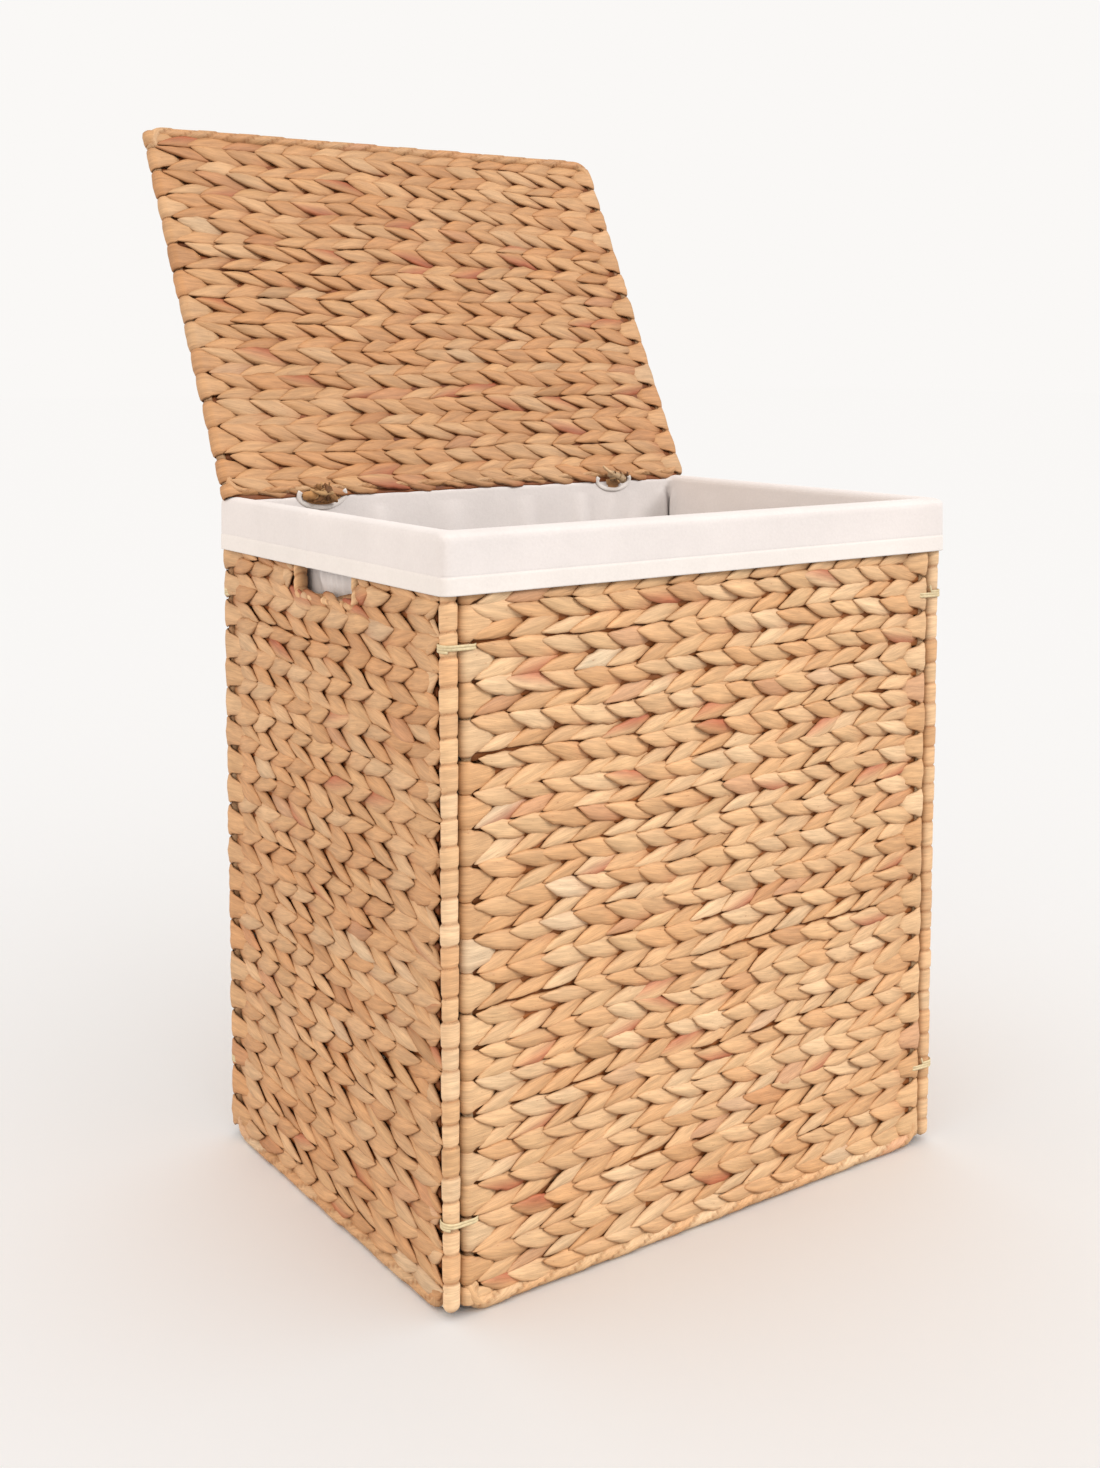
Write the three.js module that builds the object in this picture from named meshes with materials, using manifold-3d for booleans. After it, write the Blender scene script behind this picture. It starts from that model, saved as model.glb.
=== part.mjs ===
// A foldable woven laundry hamper: four walls, a base and a lid, each a wire frame with a
// plant-fibre mat woven on it, tied together at the corners, with a cotton liner hung over the rim.
//
// Millimetres, +Z up. The origin is the middle of the underside, on the floor. The front faces -Y.
// The lid stands open at rest, leaning back, and turns on the rod along its rear edge.

import * as THREE from 'three';
import { mergeVertices } from 'three/addons/utils/BufferGeometryUtils.js';
import Module from 'manifold-3d';

const wasm = await Module();
wasm.setup();

// Driving dimensions of the box
const WIDTH = 530;
const DEPTH = 390;
const HEIGHT = 600;
const MAT = 15; // thickness of a woven wall
const GAP = 0.3; // air between neighbouring pieces
const CORNER_SET_BACK = 17; // front and back walls stop this far short of the side faces

// Wire frames
const ROD = 2.5; // radius of the rod round a panel's edge
const WARP = 1.5; // radius of the wires that the strands are woven on
const ROD_INSET = 5.5; // rod centre from the panel's edge
const BEND = 10; // bend radius of the rod at a panel's corner
const ROD_SIDES = 8;
const WARP_SIDES = 6;
const WIDE_WARPS = 15;
const SIDE_WARPS = 10;

// Mats
const MAT_CORNER = 13;
const MAT_EDGE = 4; // bevel round a mat's edge

// Side walls: a wrapped rod down each upright edge, and a hand hole near the top
const SIDE_ROD_INSET = 6.5;
const WRAP = 4.5; // radius over the wrapped rod
const HANDLE_BOTTOM = 533;
const HANDLE_TOP = 571;
const HANDLE_WRAP_DEPTH = 11;

// Lid
const LID_WIDTH = 536;
const LID_LENGTH = 392;
const LID_AXIS_Y = DEPTH / 2 - 8;
const LID_AXIS_Z = HEIGHT + 11.5;
const LID_LEAN = 27; // degrees past upright
const LID_ROD_INSET = MAT / 2;

// Base
const BASE_THICKNESS = 12;
const BASE_SIDE_GAP = 3;
const BASE_AXIS_Y = DEPTH / 2 - MAT - 1.5 - BASE_THICKNESS / 2;
const BASE_LENGTH = 349;
const BASE_TIES = { left: -136, middle: 15, right: 136 };

// Ties: flat loops of cane or cord round two rods
const TIE_HEIGHT = 8;
const TIE_STOCK = 1.8;
const CORNER_TIE_LEVELS = { upper: 516, lower: 75 };
const LID_TIES = { left: -173, right: 173 };
const LID_TIE_LENGTH = 8;
const LID_TIE_STOCK = 2.5;
const HINGE_CLEARANCE = 0.8;

// Liner
const CLOTH = 2;
const CUFF_DROP = 45;
const INNER_LEG = 9;
const BAG_FLOOR = BASE_THICKNESS + 2;
const LINER_CORNER = 10;

const fibre = { color: 0xd9ac74, roughness: 0.85, metalness: 0 };
const wire = { color: 0xd8d2c4, roughness: 0.45, metalness: 0.8 };
const cane = { color: 0xe2c488, roughness: 0.7, metalness: 0 };
const cotton = { color: 0xe9e3da, roughness: 0.95, metalness: 0 };

// ---- solids -------------------------------------------------------------------------------

function solidOf(geometry) {
  const bare = geometry.clone();
  bare.deleteAttribute('normal');
  bare.deleteAttribute('uv');
  const merged = mergeVertices(bare, 1e-3);
  const vertProperties = new Float32Array(merged.attributes.position.array);
  const triVerts = new Uint32Array(merged.index.array);
  return new wasm.Manifold(new wasm.Mesh({ numProp: 3, vertProperties, triVerts }));
}

function geometryOf(solid) {
  const mesh = solid.getMesh();
  const geometry = new THREE.BufferGeometry();
  geometry.setAttribute('position', new THREE.BufferAttribute(new Float32Array(mesh.vertProperties), 3));
  geometry.setIndex(new THREE.BufferAttribute(new Uint32Array(mesh.triVerts), 1));
  geometry.computeVertexNormals();
  return geometry;
}

function meshOf(name, solid, look) {
  const mesh = new THREE.Mesh(geometryOf(solid), new THREE.MeshStandardMaterial(look));
  mesh.name = name;
  return mesh;
}

function box(x, y, z) {
  const geometry = new THREE.BoxGeometry(x[1] - x[0], y[1] - y[0], z[1] - z[0]);
  geometry.translate((x[0] + x[1]) / 2, (y[0] + y[1]) / 2, (z[0] + z[1]) / 2);
  return solidOf(geometry);
}

function roundedRectangle(x, y, radius) {
  const shape = new THREE.Shape();
  shape.moveTo(x[0] + radius, y[0]);
  shape.lineTo(x[1] - radius, y[0]);
  shape.absarc(x[1] - radius, y[0] + radius, radius, -Math.PI / 2, 0, false);
  shape.lineTo(x[1], y[1] - radius);
  shape.absarc(x[1] - radius, y[1] - radius, radius, 0, Math.PI / 2, false);
  shape.lineTo(x[0] + radius, y[1]);
  shape.absarc(x[0] + radius, y[1] - radius, radius, Math.PI / 2, Math.PI, false);
  shape.lineTo(x[0], y[0] + radius);
  shape.absarc(x[0] + radius, y[0] + radius, radius, Math.PI, 1.5 * Math.PI, false);
  return shape;
}

// A flat plate on the XY plane, from z[0] to z[1], with an optional bevel inside its outline.
function plate(shape, z, bevel = 0) {
  const geometry = new THREE.ExtrudeGeometry(shape, {
    depth: z[1] - z[0] - 2 * bevel,
    curveSegments: 2,
    bevelEnabled: bevel > 0,
    bevelThickness: bevel,
    bevelSize: bevel,
    bevelOffset: -bevel,
    bevelSegments: 1,
  });
  geometry.translate(0, 0, z[0] + bevel);
  return solidOf(geometry);
}

function rod(from, to, radius, sides) {
  const start = new THREE.Vector3(...from);
  const along = new THREE.Vector3(...to).sub(start);
  const geometry = new THREE.CylinderGeometry(radius, radius, along.length(), sides);
  geometry.translate(0, along.length() / 2, 0);
  const turn = new THREE.Quaternion().setFromUnitVectors(
    new THREE.Vector3(0, 1, 0), along.clone().normalize());
  geometry.applyQuaternion(turn);
  geometry.translate(start.x, start.y, start.z);
  return solidOf(geometry);
}

// The centre line of a bent rod round a rectangle, with one step per straight and a few per bend.
class BentRectangle extends THREE.Curve {
  constructor(x, y, radius, stepsPerBend) {
    super();
    const centres = [
      [x[1] - radius, y[0] + radius],
      [x[1] - radius, y[1] - radius],
      [x[0] + radius, y[1] - radius],
      [x[0] + radius, y[0] + radius],
    ];
    this.stations = [];
    centres.forEach(([cx, cy], corner) => {
      for (let step = 0; step <= stepsPerBend; step += 1) {
        const angle = (corner - 1 + step / stepsPerBend) * (Math.PI / 2);
        const out = new THREE.Vector3(Math.cos(angle), Math.sin(angle), 0);
        const point = new THREE.Vector3(cx, cy, 0).addScaledVector(out, radius);
        this.stations.push({ point, tangent: new THREE.Vector3(-out.y, out.x, 0) });
      }
    });
    this.stations.push(this.stations[0]);
  }

  station(t) {
    return this.stations[Math.round(t * (this.stations.length - 1))];
  }

  getPointAt(t) {
    return this.station(t).point.clone();
  }

  getTangentAt(t) {
    return this.station(t).tangent.clone();
  }
}

// A closed loop of rod. The extrusion's two end lids meet, so only its sides are kept.
function rodLoop(x, y, radius) {
  const section = new THREE.Shape();
  for (let side = 0; side < ROD_SIDES; side += 1) {
    const angle = ((side + 0.5) / ROD_SIDES) * 2 * Math.PI;
    const place = [radius * Math.cos(angle), radius * Math.sin(angle)];
    if (side === 0) section.moveTo(...place);
    else section.lineTo(...place);
  }
  const path = new BentRectangle(x, y, BEND, 2);
  const geometry = new THREE.ExtrudeGeometry(section, {
    extrudePath: path,
    steps: path.stations.length - 1,
  });
  const sides = geometry.groups[1];
  const array = geometry.attributes.position.array.slice(sides.start * 3, (sides.start + sides.count) * 3);
  const open = new THREE.BufferGeometry();
  open.setAttribute('position', new THREE.BufferAttribute(array, 3));
  return solidOf(open);
}

// A flat loop round two parallel rods at a and b, seen along its own Z, `length` long along Z.
function tieLoop(a, b, inner, stock, length) {
  const along = Math.atan2(b[1] - a[1], b[0] - a[0]);
  const stadium = (radius, target) => {
    target.absarc(b[0], b[1], radius, along - Math.PI / 2, along + Math.PI / 2, false);
    target.absarc(a[0], a[1], radius, along + Math.PI / 2, along + 1.5 * Math.PI, false);
    return target;
  };
  const outline = stadium(inner + stock, new THREE.Shape());
  outline.holes.push(stadium(inner, new THREE.Path()));
  const geometry = new THREE.ExtrudeGeometry(outline, {
    depth: length,
    curveSegments: 3,
    bevelEnabled: false,
  });
  geometry.translate(0, 0, -length / 2);
  return solidOf(geometry);
}

// ---- panels -------------------------------------------------------------------------------
// A panel stands in its own frame: X across, Y up from its lower edge, Z through its thickness.

function warpPlaces(rodSpan, count) {
  const pitch = (2 * rodSpan) / (count + 1);
  return Array.from({ length: count }, (_, i) => (i + 1) * pitch - rodSpan);
}

function panelFrame({ rodSpan, low, high, warps, extras = [] }) {
  let frame = rodLoop([-rodSpan, rodSpan], [low, high], ROD);
  for (const { x, from, to } of warps) {
    frame = frame.add(rod([x, from, 0], [x, to, 0], WARP, WARP_SIDES));
  }
  for (const extra of extras) frame = frame.add(extra);
  return frame;
}

// The room that a frame needs inside its mat, a flat slot a little thicker than its rod.
function frameSlot(rodSpan, low, high) {
  const reach = ROD + GAP;
  return box([-rodSpan - reach, rodSpan + reach], [low - reach, high + reach], [-reach, reach]);
}

function fullWarps(rodSpan, count, low, high) {
  return warpPlaces(rodSpan, count).map((x) => ({ x, from: low, to: high }));
}

function cutWindows(mat, windows, thickness) {
  return windows.reduce(
    (rest, { x, y }) => rest.subtract(box(x, y, [-thickness, thickness])), mat);
}

function plainPanel({ name, width, low, length, inset, thickness, windows }) {
  const rodSpan = width / 2 - ROD_INSET;
  const rodLow = low + inset;
  const rodHigh = low + length - ROD_INSET;
  const frame = panelFrame({
    rodSpan, low: rodLow, high: rodHigh, warps: fullWarps(rodSpan, WIDE_WARPS, rodLow, rodHigh),
  });
  const outline = roundedRectangle([-width / 2, width / 2], [low, low + length], MAT_CORNER);
  const slab = plate(outline, [-thickness / 2, thickness / 2], MAT_EDGE);
  const mat = cutWindows(slab.subtract(frameSlot(rodSpan, rodLow, rodHigh)), windows, thickness);
  const panel = new THREE.Group();
  panel.add(meshOf(`${name}_frame`, frame, wire), meshOf(`${name}_weave`, mat, fibre));
  return panel;
}

const cornerTieReach = WRAP + GAP + TIE_STOCK;

function cornerWindows(edge, depth) {
  const half = TIE_HEIGHT / 2 + 1.5;
  return Object.values(CORNER_TIE_LEVELS).flatMap((level) => [-1, 1].map((side) => ({
    x: [side * (edge - depth), side * (edge + 1)].sort((a, b) => a - b),
    y: [level - half, level + half],
  })));
}

function wideWall(name, extraWindows = []) {
  const width = WIDTH - 2 * CORNER_SET_BACK;
  const windows = cornerWindows(width / 2, ROD_INSET + cornerTieReach + 1);
  return plainPanel({
    name, width, low: 0, length: HEIGHT, inset: ROD_INSET, thickness: MAT,
    windows: [...windows, ...extraWindows],
  });
}

// Windows in the back wall where the lid's and the base's ties pass round its rails.
function backWindows() {
  const lidHalf = LID_TIE_LENGTH / 2 + 1.5;
  const lidDepth = ROD_INSET + ROD + HINGE_CLEARANCE + LID_TIE_STOCK + 1;
  const lid = Object.values(LID_TIES).map((x) => ({
    x: [-x - lidHalf, -x + lidHalf], y: [HEIGHT - lidDepth, HEIGHT + 1],
  }));
  const baseHalf = TIE_HEIGHT / 2 + 1.5;
  const baseDepth = ROD_INSET + ROD + HINGE_CLEARANCE + TIE_STOCK + 1;
  const base = Object.values(BASE_TIES).map((x) => ({ x: [-x - baseHalf, -x + baseHalf], y: [-1, baseDepth] }));
  return [...lid, ...base];
}

function handleWarps(places, low, high, loopLow, loopHigh, handleHalf) {
  return places.flatMap((x) => (Math.abs(x) < handleHalf - 1
    ? [{ x, from: low, to: loopLow }, { x, from: loopHigh, to: high }]
    : [{ x, from: low, to: high }]));
}

function sideWall(name) {
  const rodSpan = DEPTH / 2 - SIDE_ROD_INSET;
  const low = ROD_INSET;
  const high = HEIGHT - ROD_INSET;
  const places = warpPlaces(rodSpan, SIDE_WARPS);
  const handleHalf = places[SIDE_WARPS / 2 + 1];
  const loopLow = HANDLE_BOTTOM - WRAP;
  const loopHigh = HANDLE_TOP + WRAP;
  const crossRods = [loopLow, loopHigh].map((y) => (
    rod([-handleHalf, y, 0], [handleHalf, y, 0], WARP, WARP_SIDES)));
  const frame = panelFrame({
    rodSpan, low, high, extras: crossRods,
    warps: handleWarps(places, low, high, loopLow, loopHigh, handleHalf),
  });

  const matHalf = rodSpan - WRAP - GAP;
  const outline = roundedRectangle([-matHalf, matHalf], [0, HEIGHT], MAT_EDGE + 1);
  const slab = plate(outline, [-MAT / 2, MAT / 2], MAT_EDGE);
  const wrapHalf = handleHalf + WRAP;
  const wrapLow = loopLow - WRAP;
  const wrapHigh = loopHigh + WRAP;
  const hole = roundedRectangle(
    [-wrapHalf - GAP, wrapHalf + GAP], [wrapLow - GAP, wrapHigh + GAP], WRAP + 2);
  const tieDepth = cornerTieReach - WRAP - GAP + 1;
  const mat = cutWindows(
    slab.subtract(frameSlot(rodSpan, low, high)).subtract(plate(hole, [-MAT, MAT])),
    cornerWindows(matHalf, tieDepth), MAT);

  const clearHalf = handleHalf - WRAP;
  const ring = plate(roundedRectangle([-wrapHalf, wrapHalf], [wrapLow, wrapHigh], WRAP + 2),
    [-HANDLE_WRAP_DEPTH / 2, HANDLE_WRAP_DEPTH / 2], 1)
    .subtract(plate(roundedRectangle([-clearHalf, clearHalf], [HANDLE_BOTTOM, HANDLE_TOP], WRAP),
      [-MAT, MAT]));
  const room = WARP + GAP + 0.1;
  const handleWrap = [loopLow, loopHigh].reduce(
    (rest, y) => rest.subtract(rod([-handleHalf, y, 0], [handleHalf, y, 0], room, WARP_SIDES)),
    places.reduce((rest, x) => rest.subtract(rod([x, low, 0], [x, high, 0], room, WARP_SIDES)), ring));

  const wall = new THREE.Group();
  wall.add(meshOf(`${name}_frame`, frame, wire), meshOf(`${name}_weave`, mat, fibre));
  wall.add(meshOf(`${name}_handle_wrap`, handleWrap, fibre));
  const ends = name === 'left' ? { front: 1, back: -1 } : { front: -1, back: 1 };
  for (const [end, side] of Object.entries(ends)) {
    const wrap = meshOf(`${name}_${end}_edge_wrap`, edgeWrap(), fibre);
    wrap.position.x = side * rodSpan;
    wall.add(wrap);
  }
  return wall;
}

// Strand wound round an upright edge rod, between its bends: an open-ended tube.
function edgeWrap() {
  const outline = new THREE.Shape().absarc(0, 0, WRAP, 0, 2 * Math.PI, false);
  outline.holes.push(new THREE.Path().absarc(0, 0, ROD + GAP, 0, 2 * Math.PI, true));
  const ends = ROD_INSET + BEND + 1;
  const geometry = new THREE.ExtrudeGeometry(outline, {
    depth: HEIGHT - 2 * ends, curveSegments: 5, bevelEnabled: false,
  });
  geometry.rotateX(-Math.PI / 2);
  geometry.translate(0, ends, 0);
  return solidOf(geometry);
}

function standing(wall, turn, x, y) {
  wall.rotation.x = Math.PI / 2;
  const turned = new THREE.Group();
  turned.rotation.z = turn;
  turned.position.set(x, y, 0);
  turned.add(wall);
  return turned;
}

function walls() {
  const group = new THREE.Group();
  group.add(standing(wideWall('front'), 0, 0, -(DEPTH - MAT) / 2));
  group.add(standing(wideWall('back', backWindows()), Math.PI, 0, (DEPTH - MAT) / 2));
  group.add(standing(sideWall('left'), -Math.PI / 2, -(WIDTH - MAT) / 2, 0));
  group.add(standing(sideWall('right'), Math.PI / 2, (WIDTH - MAT) / 2, 0));
  return group;
}

// ---- lid and base: their own Y runs from the hinge rod to the free edge ----------------------

function lid() {
  const half = LID_TIE_LENGTH / 2 + 1;
  const windows = Object.values(LID_TIES).map((x) => ({ x: [x - half, x + half], y: [-LID_ROD_INSET - 1, 12] }));
  const panel = plainPanel({
    name: 'lid', width: LID_WIDTH, low: -LID_ROD_INSET, length: LID_LENGTH, inset: LID_ROD_INSET,
    thickness: MAT, windows,
  });
  panel.rotation.x = THREE.MathUtils.degToRad(90 - LID_LEAN);
  panel.position.set(0, LID_AXIS_Y, LID_AXIS_Z);
  return panel;
}

function base() {
  const half = TIE_HEIGHT / 2 + 1;
  const inset = BASE_THICKNESS / 2;
  const windows = Object.values(BASE_TIES).map((x) => ({ x: [-x - half, -x + half], y: [-inset - 1, 8] }));
  const panel = plainPanel({
    name: 'base', width: WIDTH - 2 * (MAT + BASE_SIDE_GAP), low: -inset, length: BASE_LENGTH,
    inset, thickness: BASE_THICKNESS, windows,
  });
  panel.rotation.z = Math.PI;
  panel.position.set(0, BASE_AXIS_Y, inset);
  return panel;
}

// ---- ties -----------------------------------------------------------------------------------

// Cane loops round a side wall's wrapped rod and the neighbouring wall's bare rod.
function cornerTies() {
  const group = new THREE.Group();
  const sideRod = [(WIDTH - MAT) / 2, DEPTH / 2 - SIDE_ROD_INSET];
  const wideRod = [WIDTH / 2 - CORNER_SET_BACK - ROD_INSET, (DEPTH - MAT) / 2];
  for (const [end, ySign] of [['front', -1], ['back', 1]]) {
    for (const [side, xSign] of [['left', -1], ['right', 1]]) {
      for (const [level, z] of Object.entries(CORNER_TIE_LEVELS)) {
        const a = [xSign * wideRod[0], ySign * wideRod[1]];
        const b = [xSign * sideRod[0], ySign * sideRod[1]];
        const loop = tieLoop(a, b, WRAP + GAP, TIE_STOCK, TIE_HEIGHT);
        const tie = meshOf(`${end}_${side}_tie_${level}`, loop, cane);
        tie.position.z = z;
        group.add(tie);
      }
    }
  }
  return group;
}

// A loop whose rods run along X: `a` and `b` are (y, z) places.
function crossTie(name, x, a, b, stock, length) {
  const loop = tieLoop(a, b, ROD + HINGE_CLEARANCE, stock, length);
  const tie = meshOf(name, loop, cane);
  tie.rotation.set(Math.PI / 2, Math.PI / 2, 0);
  tie.position.x = x;
  return tie;
}

function hingeTies() {
  const group = new THREE.Group();
  const wallY = (DEPTH - MAT) / 2;
  for (const [side, x] of Object.entries(LID_TIES)) {
    group.add(crossTie(`lid_tie_${side}`, x, [wallY, HEIGHT - ROD_INSET], [LID_AXIS_Y, LID_AXIS_Z],
      LID_TIE_STOCK, LID_TIE_LENGTH));
  }
  for (const [side, x] of Object.entries(BASE_TIES)) {
    group.add(crossTie(`base_tie_${side}`, x, [wallY, ROD_INSET], [BASE_AXIS_Y, BASE_THICKNESS / 2],
      TIE_STOCK, TIE_HEIGHT));
  }
  return group;
}

// ---- liner ----------------------------------------------------------------------------------

function ringOutline(inset, corner) {
  const x = WIDTH / 2 - inset;
  const y = DEPTH / 2 - inset;
  return roundedRectangle([-x, x], [-y, y], corner);
}

function linerCuff() {
  const top = HEIGHT + GAP + CLOTH;
  const bottom = HEIGHT - CUFF_DROP;
  const legTop = HEIGHT - INNER_LEG;
  const outside = plate(ringOutline(-GAP - CLOTH, LINER_CORNER), [bottom, top]);
  const wallRoom = plate(ringOutline(-GAP, LINER_CORNER - CLOTH), [bottom - 1, HEIGHT + GAP]);
  const innerLeg = plate(ringOutline(MAT + GAP, LINER_CORNER), [legTop, top]);
  const mouth = plate(ringOutline(MAT + GAP + CLOTH, LINER_CORNER - CLOTH), [bottom - 2, top + 1]);
  let cuff = outside.subtract(wallRoom).add(innerLeg).subtract(mouth);
  const half = LID_TIE_LENGTH / 2 + 1.5;
  for (const x of Object.values(LID_TIES)) {
    const slit = box([x - half, x + half], [DEPTH / 2 - MAT + 1, DEPTH / 2 + 3], [HEIGHT - 5, top + 1]);
    cuff = cuff.subtract(slit);
  }
  return cuff;
}

function linerBag() {
  const top = HEIGHT - INNER_LEG - GAP;
  const outside = plate(ringOutline(MAT + 1, LINER_CORNER), [BAG_FLOOR, top]);
  const inside = plate(ringOutline(MAT + 1 + CLOTH, LINER_CORNER - CLOTH), [BAG_FLOOR + CLOTH, top + 1]);
  return outside.subtract(inside);
}

function liner() {
  const group = new THREE.Group();
  group.add(meshOf('liner_bag', linerBag(), cotton), meshOf('liner_cuff', linerCuff(), cotton));
  return group;
}

const hamper = new THREE.Group();
hamper.add(walls(), lid(), base(), cornerTies(), hingeTies(), liner());

export default hamper;
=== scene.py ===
# A woven laundry hamper with an open lid and a cotton liner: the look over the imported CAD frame.
# Metres, +Z up, in the row frame. Panels are described in their own (u right, v up, n outward) axes.
import math

import bpy
import numpy as np
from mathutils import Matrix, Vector


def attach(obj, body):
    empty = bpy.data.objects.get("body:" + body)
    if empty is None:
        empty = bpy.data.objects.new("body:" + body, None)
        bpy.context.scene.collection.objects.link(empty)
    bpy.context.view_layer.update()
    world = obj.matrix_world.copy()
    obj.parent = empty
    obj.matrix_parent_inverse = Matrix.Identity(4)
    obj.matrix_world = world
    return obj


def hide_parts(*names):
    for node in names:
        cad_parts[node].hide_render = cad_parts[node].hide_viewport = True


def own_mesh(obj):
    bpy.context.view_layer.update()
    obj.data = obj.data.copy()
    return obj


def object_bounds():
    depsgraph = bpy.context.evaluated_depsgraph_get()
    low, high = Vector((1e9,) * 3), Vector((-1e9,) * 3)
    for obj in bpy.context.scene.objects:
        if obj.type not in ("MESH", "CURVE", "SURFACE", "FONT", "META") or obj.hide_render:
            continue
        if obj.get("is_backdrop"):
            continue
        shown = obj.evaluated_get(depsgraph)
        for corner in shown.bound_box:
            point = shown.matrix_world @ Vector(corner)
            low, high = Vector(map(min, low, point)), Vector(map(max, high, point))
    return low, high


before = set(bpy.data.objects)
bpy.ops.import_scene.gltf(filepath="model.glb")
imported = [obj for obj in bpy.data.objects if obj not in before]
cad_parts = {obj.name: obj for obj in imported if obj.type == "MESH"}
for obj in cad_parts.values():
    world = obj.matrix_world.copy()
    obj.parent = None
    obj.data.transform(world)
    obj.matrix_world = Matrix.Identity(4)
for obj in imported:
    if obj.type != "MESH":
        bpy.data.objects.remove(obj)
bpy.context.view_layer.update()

MM = 0.001
WIDTH, DEPTH, HEIGHT = 0.530, 0.390, 0.600
LID_LEAN = math.radians(27)
BRAID = 27.2 * MM  # height of one braid, which is a pair of twined rows
WALL_PITCH, SIDE_PITCH, LID_PITCH, BASE_PITCH = (p * MM for p in (30.3, 34.3, 32.8, 30.2))  # of the wires
LEAF_OVERLAP = 1.74  # a leaf's length in wire pitches
TOP_MARGIN = 9.5 * MM  # from a mat's top edge to its first row
HOLE = (46.9 * MM, 533 * MM, 571 * MM)  # a hand hole's half width, bottom and top
SIDE_EDGE, SIDE_ROD = 0.1948, 0.1880  # a side wall's edge and its rod, from the wall's middle


# ---- meshes ----


def linear(hex_colour):
    """A #rrggbb colour as linear red, green and blue."""
    srgb = np.array([int(hex_colour[i : i + 2], 16) / 255 for i in (1, 3, 5)])
    return np.where(srgb <= 0.04045, srgb / 12.92, ((srgb + 0.055) / 1.055) ** 2.4)


def mesh_object(name, verts, faces, material, node=None, body="root", slot=None, tint=None, uv=None):
    """verts (n, 3); faces is a list of (k, corners) index arrays."""
    loops = np.concatenate([f.ravel() for f in faces]).astype(np.int32)
    sizes = np.concatenate([np.full(len(f), f.shape[1]) for f in faces])
    starts = np.concatenate([[0], np.cumsum(sizes)[:-1]]).astype(np.int32)
    mesh = bpy.data.meshes.new(name)
    mesh.vertices.add(len(verts))
    mesh.vertices.foreach_set("co", np.asarray(verts, np.float32).ravel())
    mesh.loops.add(len(loops))
    mesh.loops.foreach_set("vertex_index", loops)
    mesh.polygons.add(len(sizes))
    mesh.polygons.foreach_set("loop_start", starts)
    if uv is not None:
        layer = mesh.uv_layers.new(name="strand")
        layer.data.foreach_set("uv", np.asarray(uv, np.float32)[loops].ravel())
    if tint is not None:
        rgba = np.concatenate([tint, np.ones((len(tint), 1))], axis=1).astype(np.float32)
        mesh.color_attributes.new("tint", "FLOAT_COLOR", "POINT").data.foreach_set("color", rgba.ravel())
    mesh.update(calc_edges=True)
    mesh.validate()
    mesh.shade_smooth()
    obj = bpy.data.objects.new(name, mesh)
    bpy.context.scene.collection.objects.link(obj)
    mesh.materials.append(material)
    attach(obj, body)
    if node:
        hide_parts(*([node] if isinstance(node, str) else node))
    return obj


def tube_faces(count, stations, ring):
    """Quads and end caps of count closed tubes, each of stations rings of ring points."""
    base = np.arange(count)[:, None, None] * stations * ring
    s = np.arange(stations - 1)[None, :, None] * ring
    r = np.arange(ring)[None, None, :]
    r1 = (r + 1) % ring
    quads = np.stack([base + s + r, base + s + r1, base + s + ring + r1, base + s + ring + r], axis=-1)
    first = np.arange(count)[:, None] * stations * ring + np.arange(ring)[None, ::-1]
    last = np.arange(count)[:, None] * stations * ring + (stations - 1) * ring + np.arange(ring)[None, :]
    return [quads.reshape(-1, 4), np.concatenate([first, last])]


def unit(vectors):
    """The same directions, each one long."""
    return vectors / np.linalg.norm(vectors, axis=-1, keepdims=True)


def swept(centre, side, top, across, height):
    """Rings of points round centre lines: across along side, height along top."""
    centre, side, top = (line[..., None, :] for line in (centre, side, top))
    return centre + side * across[..., None] + top * height[..., None]


def paired(a, b):
    """Two arrays as the last axis of one, at the shape that fits both."""
    return np.stack(np.broadcast_arrays(a, b), axis=-1)


def outward(verts, faces):
    """The same faces, turned so that they look outward."""
    quads = faces[0]
    a, b, c, d = (verts[quads[:, i]] for i in range(4))
    volume = np.einsum("ij,ij->i", a, np.cross(b, c) + np.cross(c, d)).sum()
    return faces if volume > 0 else [f[:, ::-1] for f in faces]


class Pieces:
    """Collects tubes with their colours and strand coordinates into one mesh."""

    def __init__(self):
        self.verts, self.faces, self.tint, self.uv, self.count = [], [], [], [], 0

    def add(self, grid, tint, uv):
        """grid (tubes, stations, ring, 3); tint and uv broadcast to it."""
        n, s, r, _ = grid.shape
        verts = grid.reshape(-1, 3)
        faces = outward(verts, tube_faces(n, s, r))
        self.verts.append(verts)
        self.faces += [f + self.count for f in faces]
        self.tint.append(np.broadcast_to(tint, (n, s, r, 3)).reshape(-1, 3))
        self.uv.append(np.broadcast_to(uv, (n, s, r, 2)).reshape(-1, 2))
        self.count += len(verts)

    def build(self, name, material, **how):
        return mesh_object(name, np.concatenate(self.verts), self.faces, material,
                           tint=np.concatenate(self.tint), uv=np.concatenate(self.uv), **how)


def one_tube(tube, name, material, **how):
    """A piece of a single tube, which is (grid, tint, uv)."""
    pieces = Pieces()
    pieces.add(*tube)
    return pieces.build(name, material, **how)


class Panel:
    """A flat panel's own axes: u to the right seen from outside, v up, n outward."""

    def __init__(self, origin, u, v, n):
        self.origin, self.axes = np.array(origin, float), np.array([u, v, n], float)

    def to_row(self, points):
        return self.origin + points @ self.axes


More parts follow.
